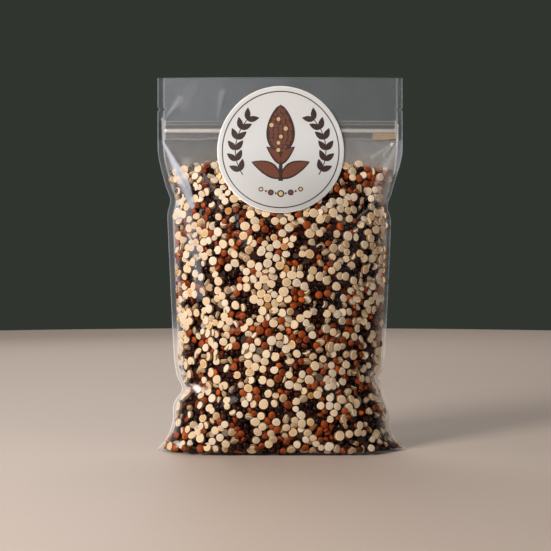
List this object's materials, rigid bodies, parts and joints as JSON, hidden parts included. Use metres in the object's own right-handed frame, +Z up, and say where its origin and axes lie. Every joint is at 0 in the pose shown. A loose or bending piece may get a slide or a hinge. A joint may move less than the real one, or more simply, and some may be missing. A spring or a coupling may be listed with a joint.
{
  "type": "zip pouch of quinoa",
  "caption": "Clear stand-up pouch filled with three-colour quinoa, with flat side seals, tear nicks, a press-to-close zip under a flat header and a round sticker on its front.",
  "frame": {"origin": "middle of the foot, on the surface that the pouch stands on", "axes": "+Z up from the foot to the top edge, +Y from the front to the back, so the sticker's side faces -Y; +X to the right as seen from the front"},
  "size_m": [0.1328, 0.057, 0.197],
  "materials": {
    "quinoa_in_film": "mean colour of the quinoa as it shows through the clear film",
    "clear_film": "clear glossy film, slightly hazy, with greyish heat seals",
    "quinoa_cream": "cream grain with a paler rim, matt",
    "quinoa_red": "rust-red grain, slightly glossy",
    "quinoa_black": "black grain, glossy",
    "zip_plastic": "milky translucent strip",
    "sticker_paper": "warm white satin paper"
  },
  "bodies": {
    "root": {"pouch": "quinoa_in_film", "zip": "zip_plastic", "label": "sticker_paper"}
  },
  "joints": []
}
